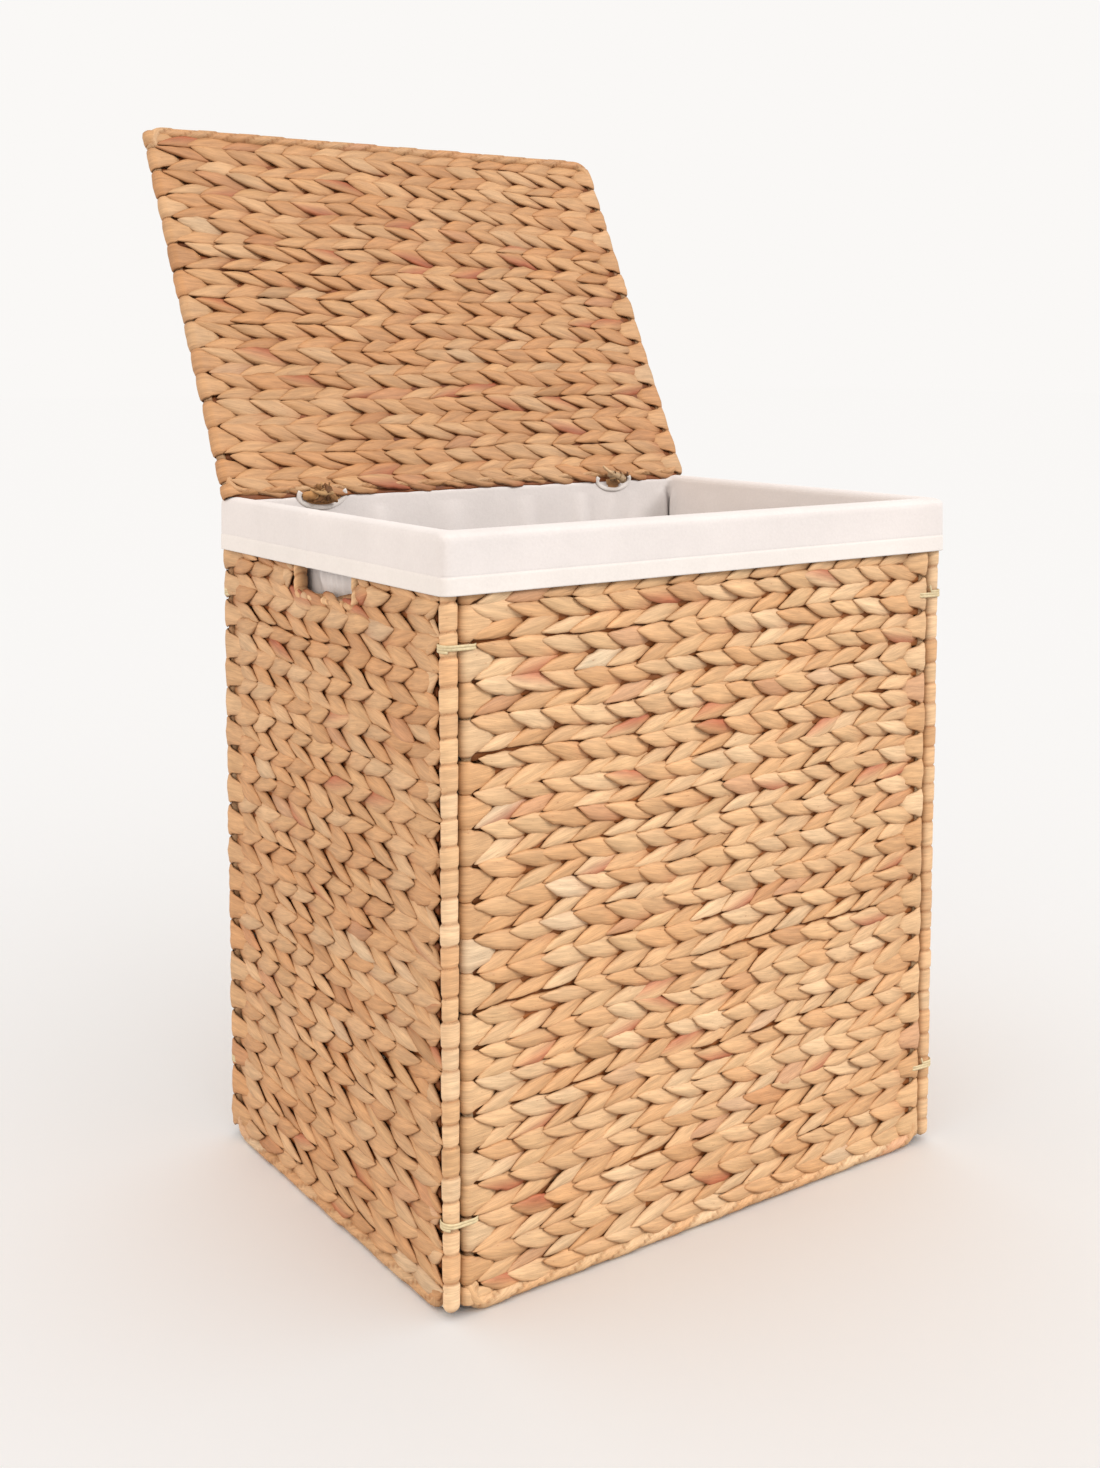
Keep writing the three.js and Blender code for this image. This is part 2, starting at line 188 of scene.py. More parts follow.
UP = (0, 0, 1)
MIDDLE_X = WIDTH / 2 - 7.5 * MM
MIDDLE_Y = DEPTH / 2 - 7.5 * MM
LID_UP = (0, math.sin(LID_LEAN), math.cos(LID_LEAN))
LID_IN = (0, -math.cos(LID_LEAN), math.sin(LID_LEAN))
HINGE = (0, 0.187, 0.6115)
FRONT = Panel((0, -MIDDLE_Y, 0), (1, 0, 0), UP, (0, -1, 0))
BACK = Panel((0, MIDDLE_Y, 0), (-1, 0, 0), UP, (0, 1, 0))
LEFT = Panel((-MIDDLE_X, 0, 0), (0, -1, 0), UP, (-1, 0, 0))
RIGHT = Panel((MIDDLE_X, 0, 0), (0, 1, 0), UP, (1, 0, 0))
LID_INSIDE = Panel(HINGE, (1, 0, 0), LID_UP, LID_IN)
LID_OUTSIDE = Panel(HINGE, (-1, 0, 0), LID_UP, tuple(-c for c in LID_IN))
BASE_FLAT = 0.6  # the base's strands are pressed flatter than the walls'
BASE_TOP = Panel((0, 0.1725, 0.006), (1, 0, 0), (0, -1, 0), (0, 0, BASE_FLAT))
BASE_UNDER = Panel((0, 0.1725, 0.006), (-1, 0, 0), (0, -1, 0), (0, 0, -BASE_FLAT))


def other_side(panel):
    """The same panel seen from its other face."""
    u, v, n = panel.axes
    return Panel(panel.origin, -u, v, -n)


# ---- materials ----


def node(tree, kind, **values):
    """A new node; values are its inputs by name, or else its settings."""
    made = tree.nodes.new(kind)
    for key, value in values.items():
        if key in made.inputs:
            made.inputs[key].default_value = value
        else:
            setattr(made, key, value)
    return made


def shader(name, roughness, specular=0.3, metallic=0.0):
    """A new material with its node tree and its Principled node."""
    material = bpy.data.materials.new(name)
    material.use_nodes = True
    tree = material.node_tree
    bsdf = tree.nodes["Principled BSDF"]
    bsdf.inputs["Roughness"].default_value = roughness
    bsdf.inputs["Specular IOR Level"].default_value = specular
    bsdf.inputs["Metallic"].default_value = metallic
    return material, tree, bsdf


def ramp(tree, value, low, high, start=0.3, end=0.7):
    """value taken from the range start to end into the range low to high."""
    span = {"From Min": start, "From Max": end, "To Min": low, "To Max": high}
    made = node(tree, "ShaderNodeMapRange", **span)
    tree.links.new(value, made.inputs["Value"])
    return made.outputs["Result"]


def noise(tree, place, scale, detail, roughness, **settings):
    """A cloudy texture at place."""
    made = node(tree, "ShaderNodeTexNoise", **settings, Scale=scale, Detail=detail, Roughness=roughness)
    tree.links.new(place, made.inputs["Vector"])
    return made.outputs["Fac"]


def product(tree, a, b):
    """Two values multiplied."""
    made = node(tree, "ShaderNodeMath", operation="MULTIPLY")
    tree.links.new(a, made.inputs[0])
    tree.links.new(b, made.inputs[1])
    return made.outputs["Value"]


def lit(tree, factor, colour):
    """A colour, or a node's colour output, made factor times as light."""
    made = node(tree, "ShaderNodeVectorMath", operation="SCALE")
    if isinstance(colour, bpy.types.NodeSocket):
        tree.links.new(colour, made.inputs[0])
    else:
        made.inputs[0].default_value = tuple(colour)
    tree.links.new(factor, made.inputs["Scale"])
    return made.outputs["Vector"]


def bumped(tree, height, strength, distance, normal=None):
    """The normal that a height gives, over another normal if there is one."""
    made = node(tree, "ShaderNodeBump", Strength=strength, Distance=distance)
    tree.links.new(height, made.inputs["Height"])
    if normal:
        tree.links.new(normal, made.inputs["Normal"])
    return made.outputs["Normal"]


def strand_material(name, roughness, fibre_depth, fleck=1.0):
    """Dried plant strand: the piece's own tint, streaked along the strand, with fibres and creases."""
    material, tree, bsdf = shader(name, roughness, 0.32)
    link = tree.links.new
    tint = node(tree, "ShaderNodeVertexColor", layer_name="tint")
    place = node(tree, "ShaderNodeUVMap", uv_map="strand")

    def along_strand(scale, detail, rough):
        mapping = node(tree, "ShaderNodeMapping", Scale=scale)
        link(place.outputs["UV"], mapping.inputs["Vector"])
        return noise(tree, mapping.outputs["Vector"], 1.0, detail, rough, noise_dimensions="2D")

    streak = along_strand((60, 1500, 1), 3.0, 0.6)
    wash = along_strand((38, 260, 1), 2.0, 0.5)
    speck = along_strand((150, 420, 1), 4.0, 0.65)
    light = product(tree, ramp(tree, streak, 0.86, 1.08), ramp(tree, wash, 0.87, 1.11))
    mixed = node(tree, "ShaderNodeMix", data_type="RGBA")
    link(ramp(tree, speck, 0.0, 0.55 * fleck, 0.66, 0.78), mixed.inputs["Factor"])
    link(lit(tree, light, tint.outputs["Color"]), mixed.inputs["A"])
    mixed.inputs["B"].default_value = (*FLECK, 1)
    link(mixed.outputs["Result"], bsdf.inputs["Base Color"])
    relief = node(tree, "ShaderNodeMath", operation="MULTIPLY_ADD")
    link(streak, relief.inputs[0])
    relief.inputs[1].default_value = 0.45
    link(wash, relief.inputs[2])
    link(bumped(tree, relief.outputs["Value"], 0.75, fibre_depth), bsdf.inputs["Normal"])
    return material


def cotton_material(name, base):
    """Unbleached cotton: fine plain weave, faint slubs and soft creases, and a little darker over the rim's
    top, which is painted shade that tones down the highlight there.
    """
    material, tree, bsdf = shader(name, 0.9, 0.15)
    link = tree.links.new
    bsdf.inputs["Sheen Weight"].default_value = 0.25
    place = node(tree, "ShaderNodeTexCoord").outputs["Object"]
    slub = noise(tree, place, 420.0, 2.0, 0.7)
    cloud = noise(tree, place, 14.0, 3.0, 0.55)
    crumple = noise(tree, place, 48.0, 4.0, 0.6)
    light = product(tree, ramp(tree, cloud, 0.95, 1.03), ramp(tree, slub, 0.965, 1.02))
    height = node(tree, "ShaderNodeSeparateXYZ")
    link(place, height.inputs["Vector"])
    # a little darker over the rim's top: painted shade against its highlight
    light = product(tree, light, ramp(tree, height.outputs["Z"], 1.0, 0.92, *RIM_TOP_SHADE))
    link(lit(tree, light, linear(base)), bsdf.inputs["Base Color"])
    weave = bumped(tree, slub, 0.25, 0.0003)
    link(bumped(tree, crumple, 0.35, 0.0015, weave), bsdf.inputs["Normal"])
    return material


def wire_material(name):
    """Pale galvanised wire, a little dulled."""
    material, tree, bsdf = shader(name, 0.5, 0.5, 0.35)
    cloud = noise(tree, node(tree, "ShaderNodeTexCoord").outputs["Object"], 160.0, 3.0, 0.6)
    tree.links.new(lit(tree, ramp(tree, cloud, 0.82, 1.06), linear("#D9CFBA")), bsdf.inputs["Base Color"])
    return material


FLECK = linear("#8A5230")  # the small dark spots on a strand
RIM_TOP_SHADE = (0.5985, 0.6015)  # heights between which the cuff turns over the rim; the cuff's colour is darkened there a little as painted shade

strand = strand_material("dried_strand", 0.62, 0.0006)
wrapping = strand_material("wrapped_strand", 0.55, 0.0004, fleck=0.6)
cane = strand_material("split_cane", 0.45, 0.0002, fleck=0.3)
cord_fibre = strand_material("fibre_cord", 0.8, 0.0006)
cotton = cotton_material("liner_cotton", "#C6BFBC")
cotton_hem = cotton_material("liner_cotton_doubled", "#CBC4BF")
wire = wire_material("frame_wire")

for name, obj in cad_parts.items():
    if name.endswith("_frame"):
        obj.data.materials.clear()
        obj.data.materials.append(wire)


# ---- woven mats ----

# swatches of most strands and of the others, and the dark brown painted as shade in the gaps, grooves and at
# strand edges, which also stands for the brown stain at the leaves' tips
COMMON = [linear(c) for c in ("#EEC394", "#EABB8A", "#E6B381", "#ECC08F", "#E4B07D", "#F1CB9F")]
LESS = [linear(c) for c in ("#DDA878", "#D9A070", "#E2AF86", "#D6A878", "#F3D6B0", "#E0A87C")]
SHADE_AND_STAIN_BROWN = linear("#925526")
STAIN = linear("#A2563A")  # the reddish edge that some strands have
DRY_SHADE = (0.61, 0.70)  # strands are this share as light as the palette's swatches


def strand_colours(rng, count):
    """A base colour for each of count strands, mixed from two swatches."""
    pick = rng.random(count)
    out = np.empty((count, 3))
    for i, p in enumerate(pick):
        choices = LESS if p < 0.06 else COMMON
        a, b = rng.integers(len(choices)), rng.integers(len(choices))
        mix = rng.random()
        out[i] = (choices[a] * mix + choices[b] * (1 - mix)) * rng.uniform(*DRY_SHADE)
    return out


# a leaf's stations along it, its width, thickness and depth there, and its ring of points across
STATIONS = np.array([0, 0.05, 0.14, 0.25, 0.37, 0.49, 0.60, 0.71, 0.81, 0.90, 0.96, 1.0])
LEAF_WIDTH = np.array([0.06, 0.24, 0.48, 0.72, 0.89, 0.98, 1.0, 0.98, 0.90, 0.71, 0.48, 0.18])
LEAF_THICK = np.array([0.30, 0.50, 0.70, 0.88, 0.98, 1.0, 1.0, 0.95, 0.84, 0.66, 0.48, 0.28])
LEAF_DEPTH = np.array([6.2, 6.3, 6.1, 5.7, 5.1, 4.4, 3.6, 2.8, 2.1, 1.4, 1.0, 0.6])  # mm above mid-thickness
RING_ACROSS = np.array([-1, -0.86, -0.5, 0, 0.5, 0.86, 1, 0.5, 0, -0.5])
RING_HEIGHT = np.array([0, 0.60, 0.90, 1.0, 0.90, 0.60, 0, -0.7, -0.85, -0.7])
PLAIN = [0, 2, 4, 6, 8, 10, 11]  # the stations and ring points that a plainer leaf keeps
PLAIN_RING = [0, 1, 3, 5, 6, 8]


def leaves(panel, rng, centre_u, centre_v, lean, flip, wander, length, half_width, fine, tone):
    """Leaf-shaped strand lengths, one over each wire. lean is +1 where a row rises and -1 where it
    falls; flip is the side that the leaves' thin ends point to; fine asks for the full outline."""
    count = len(centre_u)

    def each(low, high):
        """A random number for each leaf."""
        return rng.uniform(low, high, count)[:, None]

    stations = np.arange(len(STATIONS)) if fine else np.array(PLAIN)
    ring = np.arange(len(RING_ACROSS)) if fine else np.array(PLAIN_RING)
    t = STATIONS[stations][None, :]
    run = length[:, None] * each(0.88, 1.12)
    half = half_width * each(0.82, 1.20) * np.where(lean < 0, 1.06, 1.0)[:, None]
    thick = 3.0 * MM * each(0.80, 1.08)
    rise = BRAID * 0.205 * each(0.75, 1.25)
    bow = each(-0.06, 0.20)
    along = (t - 0.5) * run
    climb = rise * ((2 * t - 1) + bow * np.sin(2 * math.pi * t))
    depth = LEAF_DEPTH[stations][None, :] * MM * each(0.90, 1.06)
    depth = depth + each(-0.3, 0.3) * MM - 0.8 * MM * (lean[:, None] > 0)
    u = centre_u[:, None] + each(-2.2, 2.2) * MM + flip * along
    v0 = centre_v[:, None] + each(-0.9, 0.9) * MM
    v = v0 + lean[:, None] * climb + wander(u, v0)
    centre = np.stack([u, v, depth], axis=-1)
    ahead = unit(np.gradient(centre, axis=1))
    side = unit(np.cross(UP, ahead))
    top = np.cross(ahead, side)
    roll = each(-0.16, 0.16) + each(-0.5, 0.5) * (t - 0.5)
    cos_roll, sin_roll = np.cos(roll)[..., None], np.sin(roll)[..., None]
    side, top = side * cos_roll + top * sin_roll, top * cos_roll - side * sin_roll
    wide = half * LEAF_WIDTH[stations][None, :] * (1 + 0.06 * rng.standard_normal((count, len(stations))))
    tall = thick * LEAF_THICK[stations][None, :]
    crease = 1 + 0.10 * rng.standard_normal((count, 1, len(ring)))
    share = RING_ACROSS[ring][None, None, :]
    across = share * wide[..., None]
    skew = each(-0.16, 0.16)[..., None]
    height = RING_HEIGHT[ring][None, None, :] * (1 + skew * share * 2) * tall[..., None] * crease
    grid = swept(centre, side, top, across, height)
    base = strand_colours(rng, count)
    # the leaves' edges and both ends are blended towards the dark brown: painted shade where leaves overlap
    # and dip into the pits, and at the right tips also brown staining
    fade = np.interp(t[0], [0, 0.08, 0.2, 0.55, 0.8, 0.93, 1], [0.2, 0.05, 0.0, 0.0, 0.20, 0.55, 0.85])
    rim = (0.16 + 0.5 * t[0] ** 1.5)[None, :, None] * np.abs(share) ** 4
    fade = np.minimum(fade[None, :, None] + rim, 0.88)
    luck = rng.random(count)
    reddest = luck < 0.05
    blush = np.where(reddest, 0.9, np.where(luck < 0.34, rng.uniform(0.1, 0.5, count), 0))
    late = np.interp(t[0], [0, 0.45, 0.8, 1], [0, 0.05, 0.7, 1])
    early = np.interp(t[0], [0, 0.12, 0.35, 0.6], [0.2, 0.5, 0.8, 1])
    stain = (blush[:, None] * np.where(reddest[:, None], early, late))[:, :, None]
    edge = np.where(rng.random(count) < 0.5, -1, 1)[:, None, None] * share
    stain = stain * np.clip(0.45 + 0.75 * edge, 0, 1)
    tint = base[:, None, None, :] * (1 - fade[..., None]) + SHADE_AND_STAIN_BROWN * fade[..., None]
    tint = (tint * (1 - stain[..., None]) + STAIN * stain[..., None]) * np.array(tone)
    uv = paired(t[:, :, None] * run[:, :, None], across) + rng.uniform(0, 3, (count, 1, 1, 2))
    return panel.to_row(grid), tint, uv


def wave(rng, low, high, amount):
    """A function for the rows' gentle wander, which is none at the panel's bottom and top."""
    phases = rng.uniform(0, 2 * math.pi, 6)
    lengths = rng.uniform(0.14, 0.42, 6)

    def wander(u, v):
        total = np.zeros(np.broadcast(u, v).shape)
        for phase, span in zip(phases, lengths):
            total = total + np.sin(2 * math.pi * u / span + phase + v * 23 / (span * 10))
        room = np.clip((v - low) * (high - v) / ((high - low) / 2) ** 2, 0, 1) ** 0.6
        return total / 3 * amount * room

    return wander


def rows_between(rng, low, high):
    """The middle heights of the twined rows, in pairs, from low to high."""
    pairs = max(1, round((high - low) / BRAID))
    heights = rng.uniform(0.90, 1.10, pairs)
    edges = low + (high - low) * np.concatenate([[0], np.cumsum(heights) / heights.sum()])
    middles, leans = [], []
    for a, b in zip(edges[:-1], edges[1:]):
        middles += [a + (b - a) * 0.25, a + (b - a) * 0.75]
        leans += [-1, 1]
    return np.array(middles), np.array(leans), edges


def row_ends(panel, rng, edge_u, centres, heights, wander, rod_inset, reach, length, tone):
    """Flattened strands turning round the rod at a panel's side edge, one for each row."""
    count = len(centres)
    inward = -np.sign(edge_u)
    arc = np.radians(np.linspace(90, -90, 7))
    run_in = [length, length * 0.72, rod_inset + 4 * MM]
    path_in = np.concatenate([run_in, rod_inset - reach * np.cos(arc), run_in[::-1]])
    sink = np.array([1.8 * MM, 4.4 * MM, reach * 0.97])
    path_n = np.concatenate([sink, reach * np.sin(arc), -sink[::-1]])
    stations = len(path_in)
    u = edge_u + inward * path_in[None, :] + rng.uniform(-0.5, 0.5, (count, 1)) * MM
    v0 = centres[:, None] + rng.uniform(-0.6, 0.6, (count, 1)) * MM
    v = v0 + wander(u, v0)
    centre = np.stack([u, v, np.broadcast_to(path_n, (count, stations))], axis=-1)
    ahead = unit(np.gradient(centre, axis=1))
    side = unit(np.array([0.0, 1.0, 0.0]) - ahead * ahead[..., 1:2])
    top = np.cross(ahead, side) * -inward
    taper = np.interp(np.linspace(0, 1, stations), [0, 0.09, 0.25, 0.75, 0.91, 1],
                      [0.10, 0.66, 1, 1, 0.66, 0.10])
    wide = heights[:, None] * 0.54 * taper[None, :] * rng.uniform(0.92, 1.08, (count, 1))
    puff = 2.1 * MM * rng.uniform(0.85, 1.25, (count, 1)) * taper[None, :]
    across_shape = np.array([-1, -0.88, -0.45, 0, 0.45, 0.88, 1, 0.5, -0.5])
    height_shape = np.array([0, 0.6, 0.92, 1, 0.92, 0.6, 0, -0.55, -0.55])
    across = across_shape * wide[..., None]
    height = height_shape * puff[..., None] * (1 + 0.12 * rng.standard_normal((count, 1, 9)))
    grid = swept(centre, side, top, across, height)
    base = strand_colours(rng, count) * np.array(tone)
    # the strands' edges are blended towards the dark brown: painted shade at their edges
    fade = 0.34 * np.abs(across_shape) ** 5
    tint = base[:, None, None, :] * (1 - fade[:, None]) + SHADE_AND_STAIN_BROWN * fade[:, None]
    steps = np.linalg.norm(np.diff(centre, axis=1), axis=-1)
    gone = np.concatenate([np.zeros((count, 1)), np.cumsum(steps, axis=1)], axis=1)
    return panel.to_row(grid), tint, paired(gone[..., None], across) + rng.uniform(0, 3, (count, 1, 1, 2))


def inner_strands(panel, rng, edges, hole, half_width, wander, tone):
    """The strands' hidden runs behind the leaves, which close the pits between the rows with the dark brown
    of painted shade.
    """
    marks, reach = [], []
    for v in np.concatenate([edges, (edges[:-1] + edges[1:]) / 2]):
        if hole and hole[1] - 9 * MM < v < hole[2] + 9 * MM:
            for sign in (-1, 1):
                marks.append(v)
                reach.append(sorted((sign * (hole[0] + 8 * MM), sign * (half_width - 8 * MM))))
        else:
            marks.append(v)
            reach.append((-half_width + 8 * MM, half_width - 8 * MM))
    marks, reach = np.array(marks), np.array(reach)
    s = np.linspace(0, 1, 44)[None, :]
    u = reach[:, :1] * (1 - s) + reach[:, 1:] * s
    v = marks[:, None] + wander(u, marks[:, None] + 0 * u) + 0.5 * MM * rng.standard_normal(u.shape)
    angle = np.linspace(0, 2 * math.pi, 8, endpoint=False)
    high, out = v[..., None] + 4.6 * MM * np.cos(angle), 1.5 * MM + 1.3 * MM * np.sin(angle)
    grid = np.stack(np.broadcast_arrays(u[..., None], high, out), axis=-1)
    # painted shade: the pits' dark brown given to the hidden runs
    brown = SHADE_AND_STAIN_BROWN * 0.85 * np.array(tone)
    tint = np.broadcast_to(brown, grid.shape) * rng.uniform(0.75, 1.1, (*u.shape, 1, 1))
    uv = paired(u[..., None], angle * 4 * MM) + rng.uniform(0, 3, (len(marks), 1, 1, 2))
    return panel.to_row(grid), tint, uv


def stepped(path, step, least):
    """Even steps along path, at least least of them: the way gone, the points and the directions ahead."""
    path = np.array(path, float)
    lengths = np.concatenate([[0], np.cumsum(np.linalg.norm(np.diff(path, axis=0), axis=1))])
    gone = np.linspace(0, lengths[-1], max(least, int(lengths[-1] / step)))
    centre = np.stack([np.interp(gone, lengths, path[:, i]) for i in range(3)], axis=1)
    return gone, centre, unit(np.gradient(centre, axis=0))


def wound_rod(path, sideways, radii, rng, turn, slant, groove=0.16, step=1.8 * MM, ring=14,
              closed_ends=True):
    """A rod with a flat strand wound on it: a closed tube along path with a groove between turns.

    sideways is a fixed direction across the path; radii are (along it, square to it)."""
    s, centre, ahead = stepped(path, step, 4)
    across = np.array(sideways, float)[None, :]
    square = unit(np.cross(ahead, across))
    angle = np.linspace(0, 2 * math.pi, ring, endpoint=False)
    turns = np.cumsum(np.concatenate([[0], rng.uniform(0.8, 1.2, int(s[-1] / turn) + 3)])) * turn
    index = np.interp(s, turns, np.arange(len(turns)))
    phase = index[:, None] + slant * np.sin(angle)[None, :] * 0.5
    part = phase - np.floor(phase)
    near = np.minimum(part, 1 - part) * turn
    dip = groove * np.exp(-((near / (1.3 * MM)) ** 2))
    lift = 0.05 * (part - 0.5)
    which = np.floor(phase).astype(int)
    which -= which.min()
    windings = which.max() + 1
    scale = 1 - dip + lift + rng.uniform(-0.08, 0.08, windings)[which]
    if closed_ends:
        d = np.minimum(s, s[-1] - s)
        ends = np.sqrt(np.clip(1 - (1 - np.clip(d / (max(radii) * 0.9), 0, 1)) ** 2, 0.04, 1))
        scale = scale * ends[:, None]
    grid = swept(centre, across, square, np.cos(angle) * radii[0] * scale, np.sin(angle) * radii[1] * scale)
    tint = strand_colours(rng, windings)[which]
    # the grooves between turns are blended towards the dark brown: painted shade in the grooves
    fade = np.clip(dip / groove, 0, 1)[..., None] * 0.55
    tint = tint * (1 - fade) + SHADE_AND_STAIN_BROWN * fade
    uv = paired(angle * max(radii), part * turn) + rng.uniform(0, 3, (windings, 2))[which]
    return grid[None], tint[None], uv[None]


def leaf_places(middles, leans, wires, pitch, side, hole, bare_edge):
    """One face's leaves, as (u, v, lean, length) for each, cut short beside a hand hole."""
    places = []
    for v, slope in zip(middles, leans):
        beside = hole and hole[1] + 1 * MM < v < hole[2] + 5 * MM
        below = hole and hole[1] - 12 * MM < v <= hole[1] + 1 * MM
        for w in wires:
            long = pitch * LEAF_OVERLAP
            room = 7 * MM if w * bare_edge < 0 else 2 * MM
            if beside and abs(w) < hole[0]:
                continue
            if beside and abs(abs(w) - long / 2) < hole[0] + room and abs(w) < hole[0] + long / 2 + room:
                far = abs(w) + long / 2
                long = far - hole[0] - room
                w = math.copysign(far - long / 2, w)
            lowered = below and abs(w) < hole[0] + 20 * MM
            places.append((w * side, min(v, hole[1] - 8 * MM) if lowered else v, slope, long))
        if bare_edge:
            places.append((bare_edge * 168 * MM * side, v, slope, 34 * MM))
    return np.array(places)


def end_heights(edges, between_braids):
    """The heights of one side's row ends, between the braids or at their middles, and each one's room."""
    if between_braids:
        marks = np.concatenate([[edges[0] + 5 * MM], edges[1:-1], [edges[-1] - 5 * MM]])
    else:
        marks = (edges[:-1] + edges[1:]) / 2
    near_end = (marks < edges[0] + 9 * MM) | (marks > edges[-1] - 9 * MM)
    return marks, np.gradient(marks) * np.where(near_end, 0.62, 0.93)


def side_core(rng, panel, u, v_low, v_high, radii, shade):
    """The core of a side rod, seen only in the slits between the row ends, its colour darkened as painted
    shade of the slits.
    """
    grid, tint, uv = wound_rod([(u, v_low, 0), (u, v_high, 0)], (0, 0, 1), radii, rng, 20 * MM, 0.12,
                               step=5 * MM, ring=8)
    # shade darkens the core's colour: painted shade of the slits
    return panel.to_row(grid), tint * shade, uv


def edge_rods(rng, panel, low, high, half_width, radii, low_rod, tone):
    """The wound rods along a mat's bottom and top, with their ends bent round the corners."""
    pieces = Pieces()
    turn_in = 12 * MM
    edge_u = half_width - radii[0] * 0.9
    for at, sign, (lift, slim) in ((low + radii[1], 1, low_rod), (high - radii[1], -1, (0.0, 1.0))):
        bend = [(edge_u - turn_in + turn_in * math.sin(a), turn_in - turn_in * math.cos(a))
                for a in np.radians([0, 22.5, 45, 67.5, 90])]
        right = [(x, at + sign * y, lift) for x, y in bend] + [(edge_u, at + sign * 21 * MM, 0)]
        path = [(-x, y, z) for x, y, z in right[::-1]] + right
        slimmed = (radii[0] * slim, radii[1] * slim)
        grid, tint, uv = wound_rod(path, (0, 0, 1), slimmed, rng, 26 * MM, 1.0, 0.10)
        pieces.add(panel.to_row(grid), tint * np.array(tone), uv)
    return pieces


def mat(name, faces_of, low, high, half_width, wires, nodes, body="root", end_reach=5.2 * MM,
        rod_inset=5.5 * MM, hole=None, bare_edge=0, seed=1, flip=1, fine=(True, False),
        edge_radii=(7.2 * MM, 6.2 * MM), pitch=WALL_PITCH, tone=(1, 1, 1), low_margin=TOP_MARGIN,
        low_rod=(1.3 * MM, 1.0)):
    """One panel's woven mat: leaf rows on both faces, strands round the side rods, wound rods along
    the bottom and top. hole is (half width, bottom, top); bare_edge is the sign of the side whose rod
    has its own winding; low_rod is (how far the bottom rod stands out, its share of full thickness)."""
    rng = np.random.default_rng(seed)
    start, stop = low + low_margin, high - TOP_MARGIN
    middles, leans, edges = rows_between(rng, start, stop)
    wander = wave(rng, start, stop, 2.4 * MM)
    half_leaf = 7.7 * MM * (pitch / WALL_PITCH) ** 0.6
    for face, (panel, fine_face) in enumerate(zip(faces_of, fine)):
        pieces = Pieces()
        local = np.random.default_rng(seed * 10 + face)
        side = 1 if face == 0 else -1

        def face_wander(u, v):
            return wander(u * side, v)

        places = leaf_places(middles, leans, wires, pitch, side, hole, bare_edge)
        centre_u, centre_v, lean, length = places[local.permutation(len(places))].T
        pieces.add(*leaves(panel, local, centre_u, centre_v, lean, flip, face_wander, length, half_leaf,
                           fine_face, tone))
        pieces.add(*inner_strands(panel, local, edges, hole, half_width, face_wander, tone))
        if face == 0:
            turned = Pieces() if bare_edge else pieces
            for edge in (-half_width, half_width):
                if edge * bare_edge > 0:
                    continue
                place, long = (math.copysign(SIDE_EDGE, edge), 41 * MM) if bare_edge else (edge, 31 * MM)
                turned.add(*row_ends(panel, local, place, *end_heights(edges, edge * flip < 0), wander,
                                     rod_inset, end_reach, long, tone))
            if bare_edge:
                turned.add(*side_core(local, panel, -bare_edge * SIDE_ROD, low + 6 * MM, high - 8 * MM,
                                      (5.6 * MM, 5.2 * MM), np.array(tone) * 0.7))
                turned.build(f"{name}_back_turned_ends", strand, node=f"{name}_back_edge_wrap", body=body,
                             slot="edge_wrapping")
            else:
                for rod in (rod_inset - half_width, half_width - rod_inset):
                    pieces.add(*side_core(local, panel, rod, low + 9 * MM, high - 9 * MM,
                                          (4.4 * MM, 4.4 * MM), np.array(tone) * 0.65))
        pieces.build(f"{name}_mat_{'inner' if face else 'outer'}", strand, node=nodes, body=body,
                     slot="water_hyacinth")
    local = np.random.default_rng(seed * 10 + 5)
    rods = edge_rods(local, faces_of[0], low, high, half_width, edge_radii, low_rod, tone)
    rods.build(f"{name}_edge_rods", wrapping, node=nodes, body=body, slot="edge_wrapping")


def wire_places(count, pitch):
    """The places of a panel's upright wires, about its middle."""
    return (np.arange(count) - (count - 1) / 2) * pitch


WALL = {"low": 0, "high": HEIGHT, "half_width": 0.248, "wires": wire_places(15, WALL_PITCH)}
SIDE = {"low": 0, "high": HEIGHT, "half_width": 0.1837, "wires": wire_places(10, SIDE_PITCH),
        "pitch": SIDE_PITCH, "hole": HOLE, "end_reach": 6.4 * MM, "rod_inset": 6.8 * MM}

mat("front", (FRONT, other_side(FRONT)), nodes="front_weave", seed=11, **WALL)
mat("back", (BACK, other_side(BACK)), nodes="back_weave", seed=23, **WALL)
# tone darkens the left wall's strands, most in blue: painted shade of this side wall
mat("left", (LEFT, other_side(LEFT)), nodes="left_weave", seed=37, flip=-1, bare_edge=1,
    tone=(0.87, 0.81, 0.765), **SIDE)
mat("right", (RIGHT, other_side(RIGHT)), nodes="right_weave", seed=41, bare_edge=-1, **SIDE)
# tone darkens the lid's strands, most in blue: painted shade of the leaning lid
mat("lid", (LID_INSIDE, LID_OUTSIDE), -12.5 * MM, 384.5 * MM, 0.268, wire_places(15, LID_PITCH),
    "lid_weave", body="lid", seed=53, fine=(True, True), pitch=LID_PITCH, tone=(0.735, 0.645, 0.57),
    low_margin=2.5 * MM, low_rod=(2.5 * MM, 0.62))
mat("base", (BASE_TOP, BASE_UNDER), -6 * MM, 343 * MM, 0.247, wire_places(15, BASE_PITCH),
    "base_weave", body="base_flap", seed=67, fine=(False, False), pitch=BASE_PITCH,
    edge_radii=(5.6 * MM, 5.6 * MM), end_reach=4.2 * MM)


# ---- wound rods down the side walls' edges and round the hand holes ----

PALER = (1.06, 1.08, 1.12)  # the wound edges are drawn paler than the mats
